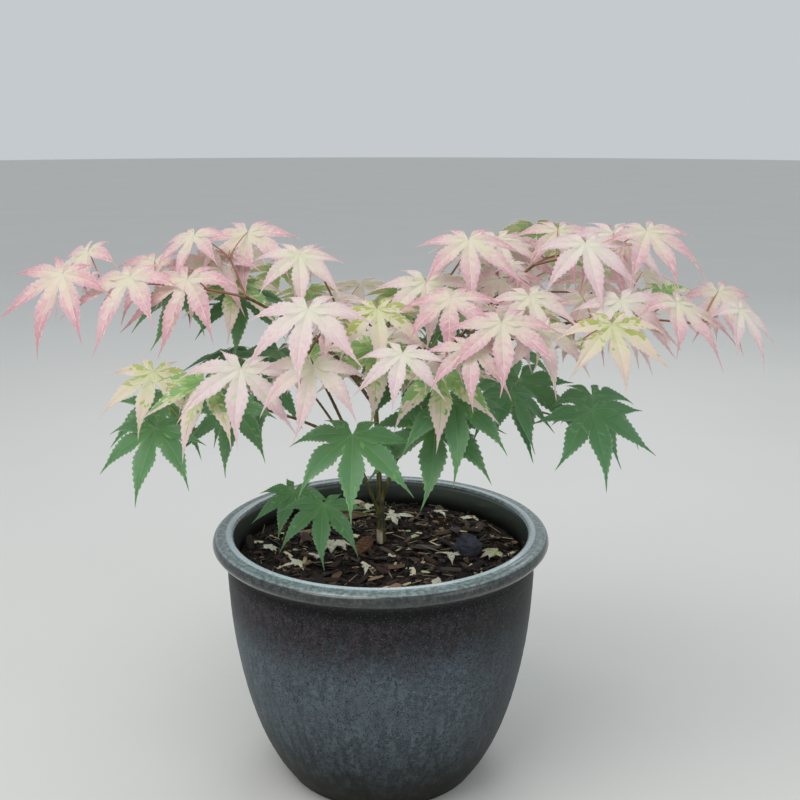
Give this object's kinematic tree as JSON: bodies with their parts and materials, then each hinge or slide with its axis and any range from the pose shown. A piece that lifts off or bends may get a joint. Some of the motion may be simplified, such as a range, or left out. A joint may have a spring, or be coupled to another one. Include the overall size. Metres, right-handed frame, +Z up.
{
  "type": "potted japanese maple",
  "caption": "Young variegated maple with layered seven-lobed pink, cream and green leaves, planted in a round glazed stoneware pot with a rolled rim.",
  "frame": {"origin": "centre of the pot's flat underside", "axes": "+Z up, -Y towards the side seen in the picture, +X to the right from there"},
  "size_m": [0.6549, 0.44, 0.5026],
  "materials": {
    "glaze": "mottled blue-grey satin glaze, browner under the rim and olive at the rim and foot",
    "soil": "loose dark bark mulch and potting soil",
    "stone": "rough blue-black stone",
    "chip": "rough red-brown bark",
    "bark": "smooth olive-brown young bark",
    "pale_leaf": "matt pink and cream leaves with green flecks",
    "green_leaf": "matt mid-green leaves"
  },
  "bodies": {
    "root": {"pot": "glaze", "soil": "soil", "dark_stone": "stone", "bark_piece": "chip", "trunk": "bark", "leader_stem": "bark", "right_stem": "bark", "left_stem": "bark", "bough_left": "bark", "bough_back": "bark", "bough_back_left": "bark", "bough_centre": "bark", "bough_right_high": "bark", "bough_right_low": "bark", "bough_right_back": "bark", "bough_front_right": "bark", "bough_low_right": "bark", "bough_low_back": "bark", "bough_front_left": "bark", "bough_low_left": "bark", "bough_low_front": "bark", "bough_low_back_left": "bark", "foliage_left_tip": "pale_leaf", "foliage_left_upper": "pale_leaf", "foliage_left_inner": "pale_leaf", "foliage_centre_top": "pale_leaf", "foliage_centre": "pale_leaf", "foliage_right_high": "pale_leaf", "foliage_right_tip": "pale_leaf", "foliage_right_front": "pale_leaf", "foliage_front_right": "pale_leaf", "foliage_front_centre": "green_leaf", "foliage_low_right": "green_leaf", "foliage_low_front_right": "green_leaf", "foliage_front_left": "pale_leaf", "foliage_front_upper": "pale_leaf", "foliage_low_left": "green_leaf", "foliage_low_front_left": "pale_leaf", "foliage_low_front": "green_leaf", "foliage_over_soil": "green_leaf", "foliage_middle": "pale_leaf", "foliage_back_left": "pale_leaf", "foliage_far_left": "green_leaf", "foliage_back": "pale_leaf", "foliage_back_inner": "pale_leaf", "foliage_right_upper": "pale_leaf", "foliage_back_right": "pale_leaf", "foliage_far_right": "pale_leaf", "foliage_low_back_right": "green_leaf", "foliage_low_back": "green_leaf", "foliage_low_back_left": "green_leaf"}
  },
  "joints": []
}
